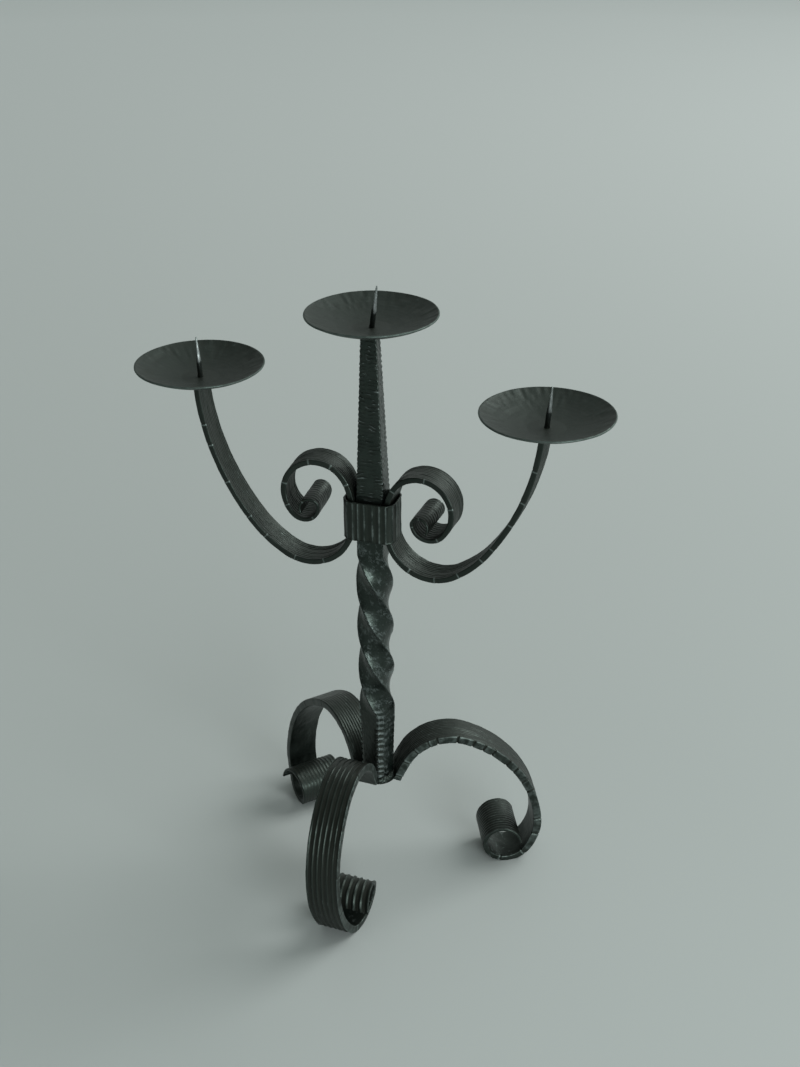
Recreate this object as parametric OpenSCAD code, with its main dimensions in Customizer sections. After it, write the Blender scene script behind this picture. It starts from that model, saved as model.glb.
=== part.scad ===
// Tripod candle holder, forged from bar: a part-twisted square stem on three scrolled legs, two
// scrolled side arms gripped by a fluted collar, and three dished plates that each carry a pricket.
// Millimetres, +Z up, +X along the right arm. The origin lies on the floor under the middle of the
// whole holder, so the stem stands a little behind it.

/* [Stem] */
// Side of the square bar of the stem
stem_w = 19.5; // [18:0.5:21]
// Side of the stem under the top plate
stem_top_w = 11; // [8:0.5:13]
// Distance by which the stem's upper end leans to the left
stem_lean = 1.2; // [0:0.1:2]
// Small flat forged along each corner of the stem
corner_flat = 0.7; // [0.4:0.1:1.2]
// Length of the straight foot of the stem, below the twist
foot_len = 62; // [56:1:70]
// Length of the twisted stretch
twist_len = 136; // [120:1:150]
// Turn of the twisted stretch, in degrees
twist_turn = 337; // [240:1:360]
// Straight stretch above the twist, inside and around the collar
straight_len = 49; // [46:1:56]
// Length of the tapered stretch from there to the top plate
taper_len = 118; // [100:1:140]
// Spacing of the chisel notches along the corners of the foot
foot_notch_pitch = 4.3; // [3.5:0.1:6]
// Spacing of the hammer notches along the corners of the taper
taper_notch_pitch = 5; // [4:0.1:7]
// Depth of a corner notch, measured across the corner's flat
notch_cut = 1.6; // [0.5:0.1:2.2]
// Half the width of a corner notch
notch_half = 0.9; // [0.5:0.1:1.4]

/* [Legs] */
// Width of the flat bar of a leg
leg_w = 25; // [20:0.5:28]
// Thickness of the flat bar of a leg, over its ribs
leg_t = 6.3; // [5:0.1:7]
// Width to which a leg is hammered out at its rolled end
leg_end_w = 43; // [30:1:48]
// Thickness of a leg at its rolled end
leg_end_t = 1.8; // [1.2:0.1:3]
// Length over which a leg widens and thins towards its end
leg_flare = 112; // [80:1:140]
// Radius of the nearly straight root of a leg
root_r = 198; // [150:1:260]
// Radius of the arch beside the stem
shoulder_r = 40; // [34:0.5:44]
// Radius of the long outer stretch of a side leg
flank_r = 100; // [85:1:110]
// Radius of the long outer stretch of the front leg
front_flank_r = 80; // [70:1:90]
// Radius above the heel of a side leg
shin_r = 44; // [36:1:60]
// Radius above the heel of the front leg
front_shin_r = 78; // [60:1:90]
// Radius of the heel that stands on the floor
heel_r = 22; // [19:0.5:25]
// Radius of the rolled end of a leg
leg_roll_r = 15.5; // [13:0.5:17]
// Depth that is filed off each heel to make it stand flat
foot_flat = 0.9; // [0.6:0.1:1.4]

/* [Arms] */
// Width of the flat bar of an arm
arm_w = 21.5; // [18:0.5:23]
// Thickness of the flat bar of an arm, over its ribs
arm_t = 4.2; // [4:0.1:5.2]
// Width to which an arm is hammered out at its rolled end
arm_end_w = 36; // [28:1:42]
// Thickness of an arm at its rolled end
arm_end_t = 1.5; // [1:0.1:2.5]
// Length over which an arm widens and thins towards its end
arm_flare = 75; // [50:1:100]
// Straight stretch of the right arm under its plate
right_neck_len = 1.5; // [0.5:0.5:8]
// Straight stretch of the left arm under its plate
left_neck_len = 8; // [0.5:0.5:10]
// Radius of the long outer reach of an arm
reach_r = 190; // [160:1:220]
// Radius of the bend under the reach
bend_r = 90; // [70:1:110]
// Radius of the belly under the scroll
belly_r = 34; // [30:0.5:38]
// Radius of an arm's back just below the stretch that the collar grips
waist_low_r = 44; // [38:1:50]
// Radius of an arm's back just above that stretch
waist_r = 54; // [48:1:60]
// Radius of the crown of the scroll
crown_r = 25.3; // [24:0.1:28]
// Radius where the scroll curls in
curl_r = 13.5; // [13:0.1:15.5]
// Radius of the rolled end of an arm
arm_roll_r = 7.4; // [6.5:0.1:9.5]
// Distance by which the arms lie forward of the stem's middle
arm_forward = 0.6; // [0:0.1:3]
// Distance by which the rolled ends lie further forward
arm_end_forward = 4; // [0:0.5:6]
// Straight stretch of the right arm where the collar grips it
right_waist_len = 5; // [1:0.5:8]
// Straight stretch of the left arm where the collar grips it
left_waist_len = 8; // [1:0.5:10]
// Depth of the lower end of those stretches below the middle of the collar
waist_drop = 2.6; // [0:0.1:4]

/* [Ribs] */
// Depth of the lengthwise ribs on the flat bars
rib_depth = 0.5; // [0.2:0.05:0.8]

/* [Collar] */
// Height of the collar
collar_h = 30; // [26:1:34]
// Length of straight stem that shows above the collar
collar_drop = 4; // [2:0.5:8]
// Wall of the collar, over its flutes
collar_wall = 1.8; // [1.5:0.1:3]
// Outside radius of the corners of the collar
collar_corner_r = 5.5; // [3:0.5:6.5]
// Spacing of the flutes
flute_pitch = 4.3; // [3.6:0.1:6]
// Radius of a flute
flute_r = 1.4; // [1:0.1:1.7]
// Depth of a flute
flute_depth = 0.5; // [0.2:0.05:0.8]
// Width of the open seam behind the stem
seam_w = 0.4; // [0.2:0.1:1]
// Clearance between the collar and what it grips
collar_gap = 0.15; // [0.1:0.05:0.3]
// Room left between the front of the collar and the edges of the arms
collar_front_gap = 2; // [0.5:0.1:3]

/* [Plates] */
// Diameter of a candle plate over its rim
plate_d = 90; // [80:1:100]
// Depth of the dish of a plate, inside
plate_depth = 11; // [8:0.5:14]
// Sheet thickness of a plate
plate_t = 1.5; // [1:0.1:2]
// Radius of the flat middle of a plate, underneath
seat_r = 13; // [12:0.5:16]

/* [Prickets] */
// Height of the spike above its shoulder
spike_h = 29; // [24:0.5:34]
// Height of the straight lower part of the spike
spike_straight = 9; // [6:0.5:12]
// Diameter of the straight part
spike_d = 3.6; // [3.2:0.1:4.2]
// Diameter of the blunted tip
spike_tip_d = 0.9; // [0.6:0.1:1.4]
// Diameter of the tang that is driven into the bar under the plate
tang_d = 2.8; // [2.2:0.1:3]
// Length of the tang below the plate
tang_len = 6; // [4:0.5:8]
// Lean of the top pricket, in degrees towards the right
top_lean = 7.5; // [0:0.5:9]
// Lean of the right pricket
right_lean = 4.5; // [0:0.5:6]
// Lean of the left pricket, towards the left
left_lean = 2.5; // [0:0.5:6]

/* [Hidden] */

// Colour of waxed black iron, and a lighter one for the forged plates and prickets
iron = [0.20, 0.22, 0.21];
plate_iron = [0.30, 0.32, 0.31];

// How far a cut runs past the face it starts from
over = 5;
// Fineness of round pieces
$fn = 64;
// Free play of a driven tang in its hole, all round
tang_gap = 0.05;
// Gap between the stem and the bars that lie against it
seat_gap = 0.1;
// Angle that the arms are swept forward of the X axis
arm_sweep = 3.35;

// Angles turned along a leg, one after the other
root_turn = 6;
shoulder_turn = 84;
flank_turn = 62;
shin_turn = 41;
front_shoulder_turn = 99;
front_flank_turn = 65;
front_shin_turn = 26;
heel_turn = 140;
leg_roll_turn = 178;
// Slope at which a leg leaves the stem
root_slope = 67;
// Directions of the legs about the stem, from +X
right_leg_dir = 24;
front_leg_dir = -92.5;
back_leg_dir = 137.5;
// Sideways offset of each leg at its root, and how much is added by its rolled end
right_leg_off = 3.5;
right_leg_drift = 0;
front_leg_off = -7.5;
front_leg_drift = 9;
back_leg_off = 0.5;
back_leg_drift = 9.5;
// A ring of this radius, pushed down on a leaning spike, stops at its shoulder and clears the plate
spike_foot_r = 3;
// How far above the start of its path a leg is cut off level with the lower end of the stem
root_trim = 3;
leg_steps = [2, 9, 8, 4, 12, 14];
leg_ribs = 6;

// Angles turned along an arm, from the plate to the rolled end
reach_turn = 31;
bend_turn = 22;
belly_turn = 95;
waist_low_turn = 27;
waist_up_turn = 25;
crown_turn = 198;
curl_turn = 136;
arm_roll_turn = 215;
arm_steps = [6, 3, 8, 3, 3, 14, 9, 11];
arm_ribs = 4;

// Turn of the stem's square foot from the X axis
foot_angle = twist_turn;

// Weld under the stem: a low cap, and a run of weld in the open corner between two legs
weld_cap_r = 14;
weld_cap_h = 4;
weld_bead_r = 4.6;
weld_bead_dir = -46;
weld_bead_out = 12.5;

// A path is a list of stations [distance from the stem, height, heading, length so far]. It runs
// along the outer face of a bar, and the bar's thickness lies to the right of the heading.
function ahead(p, d) = [p[0] + d * cos(p[2]), p[1] + d * sin(p[2]), p[2], p[3] + d];
function arc_walk(p, r, turn, steps) =
    let (cx = p[0] + r * sin(p[2]), cz = p[1] - r * cos(p[2]))
    [for (k = [1:steps]) let (a = p[2] - turn * k / steps)
        [cx - r * sin(a), cz + r * cos(a), a, p[3] + r * turn * k / steps * PI / 180]];
function walk(p, arcs, i = 0) =
    i == len(arcs) ? [] :
    let (q = arc_walk(p, arcs[i][0], arcs[i][1], arcs[i][2]))
    concat(q, walk(q[len(q) - 1], arcs, i + 1));
function moved(path, dr, dz) = [for (p = path) [p[0] + dr, p[1] + dz, p[2], p[3]]];
function last(v) = v[len(v) - 1];
function clamp01(u) = max(0, min(1, u));

// A bar's cross-section at one station: ribs on the outer face, then the inner face. The vector q
// leads from the outer to the inner face; on the level end of a bar it lies level. The outer face
// keeps clear of the stem's corner by being ground back to a distance from the stem's middle.
function across(k, ribs, w) = w / 2 - w * k / (2 * ribs);
function rib(k) = k % 2 == 0 ? rib_depth / 2 : 0;
function bar_ring(p, q, w, t, off, dir, ribs, inner_ribs, ground_to) =
    let (n = inner_ribs ? 2 * ribs : 3)
    [for (k = [0:2 * ribs + n + 1])
        let (outer = k <= 2 * ribs, j = outer ? k : k - 2 * ribs - 1,
             inner_y = inner_ribs ? -across(j, ribs, w) : w * (j / n - 1 / 2),
             y = off + (outer ? across(j, ribs, w) : inner_y),
             ground = q[0] > 0 ? (ground_to - p[0]) / q[0] : 0,
             d = outer ? max(rib(j), ground) : t - (inner_ribs ? rib(j) : 0),
             x = p[0] + d * q[0])
        [x * cos(dir) - y * sin(dir), x * sin(dir) + y * cos(dir), p[1] + d * q[1]]];
// Rings along a whole bar: it widens and thins over its flare, and drifts sideways from a station on
function bar_rings(path, w, end_w, t, end_t, flare, off, drift, from, dir, ribs,
                   inner_ribs = false, ground_to = 0) =
    let (total = last(path)[3])
    [for (i = [0:len(path) - 1])
        let (p = path[i], a = p[2], q = i == 0 ? [1 / sin(a), 0] : [sin(a), -cos(a)],
             u = clamp01((p[3] - total + flare) / flare),
             v = clamp01((p[3] - path[from][3]) / (total - path[from][3])))
        bar_ring(p, q, w + (end_w - w) * u, t + (end_t - t) * u, off + drift * v,
                 dir, ribs, inner_ribs, ground_to)];

// Legs: the lowest point of each path stands below the floor by the depth that is filed flat
function leg_arcs(sh_turn, fl_r, fl_turn, sn_r, sn_turn) =
    [[root_r, root_turn, leg_steps[0]], [shoulder_r, sh_turn, leg_steps[1]],
     [fl_r, fl_turn, leg_steps[2]], [sn_r, sn_turn, leg_steps[3]],
     [heel_r, heel_turn, leg_steps[4]], [leg_roll_r, leg_roll_turn, leg_steps[5]]];
side_arcs = leg_arcs(shoulder_turn, flank_r, flank_turn, shin_r, shin_turn);
front_arcs = leg_arcs(front_shoulder_turn, front_flank_r, front_flank_turn, front_shin_r, front_shin_turn);
leg_start = [stem_w / 2, 0, root_slope, 0];
function leg_walk(arcs) =
    let (path = walk(leg_start, arcs))
    moved(concat([leg_start], path), 0, -foot_flat - min([for (p = path) p[1]]));
// The end of the stem is cut off level a little above the start of the side legs
foot_z = leg_walk(side_arcs)[0][1] + root_trim;
function leg_path(arcs) =
    let (path = leg_walk(arcs), start = path[0])
    concat([ahead(start, (foot_z - start[1]) / sin(root_slope))], [for (i = [1:len(path) - 1]) path[i]]);
side_path = leg_path(side_arcs);
front_path = leg_path(front_arcs);
// How far the stem's nearest corner reaches towards a leg that covers it
function stem_reach(off, dir) =
    let (half = stem_w / 2, r = norm([half, half - corner_flat]), edge = atan((half - corner_flat) / half))
    max([for (k = [0:3], s = [-1, 1])
        let (a = foot_angle + 90 * k + s * edge - dir)
        abs(r * sin(a) - off) < leg_w / 2 + corner_flat ? r * cos(a) : stem_w / 2]);
function filed(ring) = [for (p = ring) [p[0], p[1], max(0, p[2])]];
function leg_rings(path, off, drift, dir) =
    [for (ring = bar_rings(path, leg_w, leg_end_w, leg_t, leg_end_t, leg_flare, off, drift, 0, dir,
                           leg_ribs, false, stem_reach(off, dir) + seat_gap))
        filed(ring)];
right_leg_rings = leg_rings(side_path, right_leg_off, right_leg_drift, right_leg_dir);
front_leg_rings = leg_rings(front_path, front_leg_off, front_leg_drift, front_leg_dir);
back_leg_rings = leg_rings(side_path, back_leg_off, back_leg_drift, back_leg_dir);

// Heights of the stem
twist_z = foot_z + foot_len;
straight_z = twist_z + twist_len;
taper_z = straight_z + straight_len;
top_z = taper_z + taper_len;
collar_z = taper_z - collar_drop - collar_h;

// How far the stem leans to the left at a height
function lean_at(z) = stem_lean * clamp01((z - twist_z) / (top_z - twist_z));

// Arm: the path starts under the plate and is moved so that its back rests on the stem, and then
// out by a further distance where the stem leans that way. Its waist is the straight stretch in the
// collar, with one list of arcs before it and one after it.
low_turns = reach_turn + bend_turn + belly_turn + waist_low_turn;
low_arcs = [[reach_r, reach_turn, arm_steps[0]], [bend_r, bend_turn, arm_steps[1]],
            [belly_r, belly_turn, arm_steps[2]], [waist_low_r, waist_low_turn, arm_steps[3]]];
high_arcs = [[waist_r, waist_up_turn, arm_steps[4]], [crown_r, crown_turn, arm_steps[5]],
             [curl_r, curl_turn, arm_steps[6]], [arm_roll_r, arm_roll_turn, arm_steps[7]]];
waist_station = arm_steps[0] + arm_steps[1] + arm_steps[2] + arm_steps[3] + 1;
arm_back = stem_w / 2 * (1 + sin(arm_sweep)) / cos(arm_sweep) + seat_gap;
arm_waist_z = collar_z + collar_h / 2 - waist_drop;
arm_start = [0, 0, low_turns - 270, 0];
arm_low = walk(arm_start, low_arcs);
arm_shift = [arm_back - last(arm_low)[0], arm_waist_z - last(arm_low)[1]];
function arm_path(neck, waist, out) =
    let (upper = ahead(last(arm_low), waist))
    moved(concat([ahead(arm_start, -neck)], arm_low, [upper], walk(upper, high_arcs)),
          arm_shift[0] + out, arm_shift[1]);
function arm_rings(path) =
    bar_rings(path, arm_w, arm_end_w, arm_t, arm_end_t, arm_flare,
              -arm_forward, -arm_end_forward, waist_station, -arm_sweep, arm_ribs, true);
// Middle of an arm's upper end, where its plate sits
function arm_seat(path) =
    let (p = path[0], reach = p[0] + arm_t / 2 / sin(p[2]))
    [reach * cos(arm_sweep) - arm_forward * sin(arm_sweep),
     -reach * sin(arm_sweep) - arm_forward * cos(arm_sweep), p[1]];
left_out = lean_at(arm_waist_z + left_waist_len);
right_path = arm_path(right_neck_len, right_waist_len, 0);
left_path = arm_path(left_neck_len, left_waist_len, left_out);
right_seat = arm_seat(right_path);
left_seat = arm_seat(left_path);

// Place of the stem, which puts the origin in the middle of the plates' and legs' spread
stem_x = (left_seat[0] - right_seat[0]) / 2;
leg_spread = [for (rings = [right_leg_rings, front_leg_rings, back_leg_rings], g = rings, p = g) p[1]];
stem_y = -(min(leg_spread) + max(leg_spread)) / 2;

// Skin over a list of rings with equally many points each. The two ends are closed by a polygon, or
// by a strip of triangles across the bar where the number of points on its outer face is given.
function end_strip(first, n, outer, swap) =
    let (inner = n - outer, m = [for (j = [0:outer - 1]) n - 1 - round(j * (inner - 1) / (outer - 1))])
    [for (j = [0:outer - 2], half = [0, 1])
        if (half == 0 || m[j] != m[j + 1])
            let (t = half == 0 ? [j, j + 1, m[j + 1]] : [j, m[j + 1], m[j]])
            [for (k = [0:2]) first + t[swap ? 2 - k : k]]];
module skin(rings, outer = 0) {
    n = len(rings[0]);
    m = len(rings);
    polyhedron(
        points = [for (g = rings) each g],
        faces = concat(
            outer > 0 ? end_strip(0, n, outer, false) : [[for (j = [0:n - 1]) j]],
            outer > 0 ? end_strip((m - 1) * n, n, outer, true) : [[for (j = [n - 1:-1:0]) (m - 1) * n + j]],
            [for (i = [0:m - 2], j = [0:n - 1], half = [0, 1])
                let (a = i * n + j, b = i * n + (j + 1) % n)
                half == 0 ? [a, a + n, b + n] : [a, b + n, b]]),
        convexity = 10);
}

// Square bar section with a small flat on each corner, turned by an angle, at a height
function bar_section(w, flat, angle, z) =
    let (h = w / 2, c = w / 2 - flat)
    [for (k = [0:3], s = [-1, 1])
        let (a = angle + 90 * k, x = s < 0 ? h : c, y = s < 0 ? c : h)
        [x * cos(a) - y * sin(a) - lean_at(z), x * sin(a) + y * cos(a), z]];
function notched(z0, z1, pitch, angle) =
    [for (k = [1:floor((z1 - z0) / pitch) - 1], s = [-1, 0, 1])
        let (z = z0 + k * pitch + s * notch_half)
        [z, angle, corner_flat + (s == 0 ? notch_cut : 0)]];
function stem_side(z) = z <= taper_z ? stem_w : stem_w + (stem_top_w - stem_w) * (z - taper_z) / taper_len;
twist_steps = 48;
stem_stations = concat(
    [[foot_z, foot_angle, corner_flat]],
    notched(foot_z + foot_notch_pitch * 2, twist_z, foot_notch_pitch, foot_angle),
    [for (k = [0:twist_steps]) [twist_z + twist_len * k / twist_steps,
                                foot_angle - twist_turn * k / twist_steps, corner_flat]],
    [[taper_z, 0, corner_flat]],
    notched(taper_z, top_z, taper_notch_pitch, 0),
    [[top_z, 0, corner_flat]]);

module stem() {
    color(iron)
    translate([stem_x, stem_y, 0])
    difference() {
        skin([for (s = stem_stations)
            bar_section(stem_side(s[0]), min(s[2], stem_side(s[0]) / 4), s[1], s[0])]);
        translate([0, 0, top_z]) rotate([0, top_lean, 0]) tang_hole();
    }
}

module leg(rings) {
    color(iron) translate([stem_x, stem_y, 0]) skin(rings, 2 * leg_ribs + 1);
}
module leg_right() { leg(right_leg_rings); }
module leg_front() { leg(front_leg_rings); }
module leg_back() { leg(back_leg_rings); }

module root_weld() {
    cap_sphere = (weld_cap_r * weld_cap_r + weld_cap_h * weld_cap_h) / (2 * weld_cap_h);
    color(iron)
    translate([stem_x, stem_y, foot_z]) {
        intersection() {
            translate([0, 0, cap_sphere - weld_cap_h]) sphere(cap_sphere);
            translate([0, 0, -over]) cylinder(r = weld_cap_r + over, h = over);
        }
        difference() {
            rotate([0, 0, weld_bead_dir]) translate([weld_bead_out, 0, 0]) sphere(weld_bead_r);
            rotate([0, 0, foot_angle])
                translate([-stem_w / 2, -stem_w / 2, 0]) cube([stem_w, stem_w, foot_len]);
        }
    }
}

// Arm: its upper end is drilled for the tang of its pricket
module arm(path, seat, lean) {
    difference() {
        skin(arm_rings(path), 2 * arm_ribs + 1);
        translate(seat) rotate([0, lean, 0]) tang_hole();
    }
}
module arm_right() {
    color(iron) translate([stem_x, stem_y, 0]) arm(right_path, right_seat, right_lean);
}
module arm_left() {
    color(iron) translate([stem_x, stem_y, 0]) mirror([1, 0, 0]) arm(left_path, left_seat, left_lean);
}

// Collar: a fluted band, bent round the stem and both arms, with its seam behind. The inner face of
// an arm reaches furthest out at the lower or at the upper edge of the collar.
function bowed(r, drop) = r - sqrt((r - arm_t) * (r - arm_t) - drop * drop);
grip_x = arm_back + max(bowed(waist_low_r, collar_h / 2 - waist_drop),
                        bowed(waist_r, collar_h / 2 + waist_drop - min(right_waist_len, left_waist_len)));
collar_in_x = grip_x + (arm_w / 2 - arm_forward) * sin(arm_sweep) + left_out / 2 + collar_gap;
scroll_len = last(right_path)[3] - right_path[waist_station][3];
collar_front = -arm_w / 2 - arm_forward - (grip_x + left_out) * sin(arm_sweep)
    - arm_end_forward * collar_h / 2 / scroll_len - collar_front_gap;
collar_back = stem_w / 2 + collar_gap;
module round_rect(x, y0, y1, r) {
    translate([-x, y0 + r]) square([2 * x, y1 - y0 - 2 * r]);
    translate([-x + r, y0]) square([2 * x - 2 * r, y1 - y0]);
    for (sx = [-1, 1], y = [y0 + r, y1 - r]) translate([sx * (x - r), y]) circle(r);
}
module collar() {
    out_x = collar_in_x + collar_wall;
    y0 = collar_front - collar_wall;
    y1 = collar_back + collar_wall;
    r = collar_corner_r;
    groove = flute_r - flute_depth;
    front_flutes = floor((out_x - r) / flute_pitch);
    side_flutes = floor(((y1 - y0) / 2 - r) / flute_pitch);
    color(iron)
    translate([stem_x - left_out / 2, stem_y, collar_z])
    linear_extrude(collar_h)
    difference() {
        round_rect(out_x, y0, y1, r);
        round_rect(collar_in_x, collar_front, collar_back, r - collar_wall);
        for (k = [-front_flutes:front_flutes], y = [y0 - groove, y1 + groove])
            translate([k * flute_pitch, y]) circle(flute_r);
        for (k = [-side_flutes:side_flutes], s = [-1, 1])
            translate([s * (out_x + groove), (y0 + y1) / 2 + k * flute_pitch]) circle(flute_r);
        translate([-seam_w / 2, 0]) square([seam_w, y1 + over]);
    }
}

// Plate: part of a spherical shell with a flat middle, drilled for the tang
module plate(lean) {
    r = plate_d / 2;
    // radius of the inside of the dish, through the rim and the edge of the flat middle
    bowl_r = (r * r - seat_r * seat_r + plate_depth * plate_depth) / (2 * plate_depth);
    ball = sqrt(bowl_r * bowl_r + seat_r * seat_r);
    color(plate_iron)
    difference() {
        rotate_extrude()
        intersection() {
            difference() {
                translate([0, plate_t + bowl_r]) circle(ball + plate_t, $fn = 256);
                difference() {
                    translate([0, plate_t + bowl_r]) circle(ball, $fn = 256);
                    square([r + over, plate_t]);
                }
            }
            square([r, plate_depth + plate_t]);
        }
        rotate([0, lean, 0]) tang_hole(up = plate_t + over);
    }
}
module plate_top() { translate([stem_x, stem_y, top_z]) plate(top_lean); }
module plate_right() { translate([stem_x, stem_y, 0]) translate(right_seat) plate(right_lean); }
module plate_left() {
    translate([stem_x, stem_y, 0]) mirror([1, 0, 0]) translate(left_seat) plate(left_lean);
}

module tang_hole(up = over) {
    translate([0, 0, -tang_len - tang_gap])
        cylinder(d = tang_d + 2 * tang_gap, h = tang_len + tang_gap + up, $fn = 48);
}

// Pricket: a turned-down tang, a straight shank and a long taper, leaning a little
module pricket(lean) {
    shoulder = plate_t / cos(lean) + spike_foot_r * sin(lean);
    color(plate_iron)
    rotate([0, lean, 0])
    rotate_extrude($fn = 48)
    polygon([
        [0, -tang_len], [tang_d / 2, -tang_len], [tang_d / 2, shoulder], [spike_d / 2, shoulder],
        [spike_d / 2, shoulder + spike_straight], [spike_tip_d / 2, shoulder + spike_h],
        [0, shoulder + spike_h]]);
}
module pricket_top() { translate([stem_x, stem_y, top_z]) pricket(top_lean); }
module pricket_right() { translate([stem_x, stem_y, 0]) translate(right_seat) pricket(right_lean); }
module pricket_left() {
    translate([stem_x, stem_y, 0]) mirror([1, 0, 0]) translate(left_seat) pricket(left_lean);
}

stem();
collar();
arm_right();
arm_left();
leg_right();
leg_front();
leg_back();
root_weld();
plate_top();
plate_right();
plate_left();
pricket_top();
pricket_right();
pricket_left();
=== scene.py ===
# %% [markdown]
# # A forged tripod candle holder
# The holder is blacksmith's work: flat bars with lengthwise ridges are bent into scrolls, a square bar
# is part twisted, and thin plates are hammered into dishes. All of it is black iron with a wax finish,
# so there is little colour. The look comes from small steps in the surface and from how they shine.
#
# Each piece here is worked out as a surface with numpy and then given to Blender as a mesh. The sizes
# are in millimetres, in the same frame as the solid model, and are turned into metres at the very end.

# %% Load the frame
import math

import bpy
import numpy as np
from mathutils import Matrix, Vector


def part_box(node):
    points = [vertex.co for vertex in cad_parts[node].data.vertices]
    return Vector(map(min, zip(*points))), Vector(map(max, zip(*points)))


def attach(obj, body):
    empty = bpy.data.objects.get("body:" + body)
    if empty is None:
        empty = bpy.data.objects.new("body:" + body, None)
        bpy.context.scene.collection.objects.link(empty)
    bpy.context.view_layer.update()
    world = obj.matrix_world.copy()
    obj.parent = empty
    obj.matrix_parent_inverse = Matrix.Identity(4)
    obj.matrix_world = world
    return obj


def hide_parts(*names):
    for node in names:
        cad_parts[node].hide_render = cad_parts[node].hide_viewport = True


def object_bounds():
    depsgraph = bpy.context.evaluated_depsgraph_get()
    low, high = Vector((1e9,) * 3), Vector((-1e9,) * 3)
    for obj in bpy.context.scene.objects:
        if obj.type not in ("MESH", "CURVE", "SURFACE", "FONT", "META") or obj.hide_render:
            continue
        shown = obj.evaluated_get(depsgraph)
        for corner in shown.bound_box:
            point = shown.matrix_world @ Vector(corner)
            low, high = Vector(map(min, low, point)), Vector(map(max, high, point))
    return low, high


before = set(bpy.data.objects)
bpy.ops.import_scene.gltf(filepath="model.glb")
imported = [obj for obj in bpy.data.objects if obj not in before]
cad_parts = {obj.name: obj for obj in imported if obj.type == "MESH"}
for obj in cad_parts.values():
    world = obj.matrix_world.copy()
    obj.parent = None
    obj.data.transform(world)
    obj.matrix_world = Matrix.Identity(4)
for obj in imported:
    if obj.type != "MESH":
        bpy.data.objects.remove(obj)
cad_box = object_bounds()
MM = 0.001
print("solid model", [round(float(v), 4) for corner in cad_box for v in corner])

# %% [markdown]
# ## Where things are
# The frame says where the stem stands: the plate at the top sits in the middle of it. The ends of the
# arms and the stem give the heights, so that every surface below lands on its solid.

# %% Read the places of the pieces from the frame
def node_box(name):
    """Lowest and highest corner of a node, in millimetres."""
    low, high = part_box(name)
    return np.array(low) / MM, np.array(high) / MM


def node_middle(name):
    low, high = node_box(name)
    return (low + high) / 2


stem_low, stem_high = node_box("stem")
stem_xy = node_middle("plate_top")[:2]
foot_z = stem_low[2]
top_z = stem_high[2]
seats = {side: node_middle("plate_" + side) for side in ("top", "right", "left")}
for side, seat in seats.items():
    seat[2] = node_box("plate_" + side)[0][2]
    print("plate", side, "sits at", seat.round(2))

# %% [markdown]
# ## The camera
# The photograph was taken from a little above, with the holder turned about 19 degrees. The lens and
# the place of the camera were found from the round plates: a circle of known width seen from the side
# is an ellipse, and three such ellipses fix where the eye was.

# %% Place the camera
LENS_PX = 1430.0
IMAGE_PX = (800, 1067)
SENSOR = 36.0
CAMERA_BACK = 895.9
CAMERA_Z = 780.1
TURN, YAW, PITCH, ROLL = (math.radians(a) for a in (19.0, 1.152, 28.19, -0.292))


def new_object(name, data):
    """An object that shows its data, linked to the scene."""
    thing = bpy.data.objects.new(name, data)
    bpy.context.scene.collection.objects.link(thing)
    return thing


def camera_axes():
    """Right, up and forward of the eye, from its turn, yaw, pitch and roll."""
    forward = Vector((math.sin(YAW) * math.cos(PITCH), math.cos(YAW) * math.cos(PITCH), -math.sin(PITCH)))
    level = Vector((math.cos(YAW), -math.sin(YAW), 0))
    up = level.cross(forward)
    right = level * math.cos(ROLL) + up * math.sin(ROLL)
    up = up * math.cos(ROLL) - level * math.sin(ROLL)
    turn = Matrix.Rotation(TURN, 3, "Z")
    return turn @ right, turn @ up, turn @ forward


right, up, forward = camera_axes()
camera_data = bpy.data.cameras.new("camera")
camera_data.sensor_width = SENSOR
camera_data.lens = LENS_PX * SENSOR / max(IMAGE_PX)
camera = new_object("camera", camera_data)
eye = Vector((stem_xy[0] + CAMERA_BACK * math.sin(TURN), stem_xy[1] - CAMERA_BACK * math.cos(TURN),
              CAMERA_Z)) * MM
axes = Matrix((right, up, -forward)).transposed()
camera.matrix_world = Matrix.Translation(eye) @ axes.to_4x4()
bpy.context.scene.camera = camera
print("camera at", [round(c, 3) for c in eye], "lens", round(camera_data.lens, 2))

# %% [markdown]
# ## Uneven by hand
# Nothing on forged work repeats exactly. A lattice of random heights, blended smoothly from one knot to
# the next, gives the slow unevenness that a hammer leaves. The same seed gives the same dents each run.

# %% Smooth random dents
LATTICE = 128


def dents(u, v, seed, period=LATTICE):
    """Random heights from -1 to 1 at whole u and v, blended with t*t*(3 - 2t); v repeats after its period."""
    table = np.random.default_rng(seed).uniform(-1, 1, (LATTICE, LATTICE))
    iu, iv = np.floor(u).astype(int), np.floor(v).astype(int)
    fu, fv = u - iu, v - iv
    fu, fv = fu * fu * (3 - 2 * fu), fv * fv * (3 - 2 * fv)
    a, b = iu % LATTICE, (iu + 1) % LATTICE
    c, d = iv % period, (iv + 1) % period
    near = table[a, c] * (1 - fu) + table[b, c] * fu
    far = table[a, d] * (1 - fu) + table[b, d] * fu
    return near * (1 - fv) + far * fv


def smooth(low, high, x):
    """A smooth step from 0 at low to 1 at high."""
    t = np.clip((x - low) / (high - low), 0, 1)
    return t * t * (3 - 2 * t)


print("dents at three places:", dents(np.array([0.0, 0.5, 7.2]), np.array([0.0, 3.1, 9.9]), 1).round(2))
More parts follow.
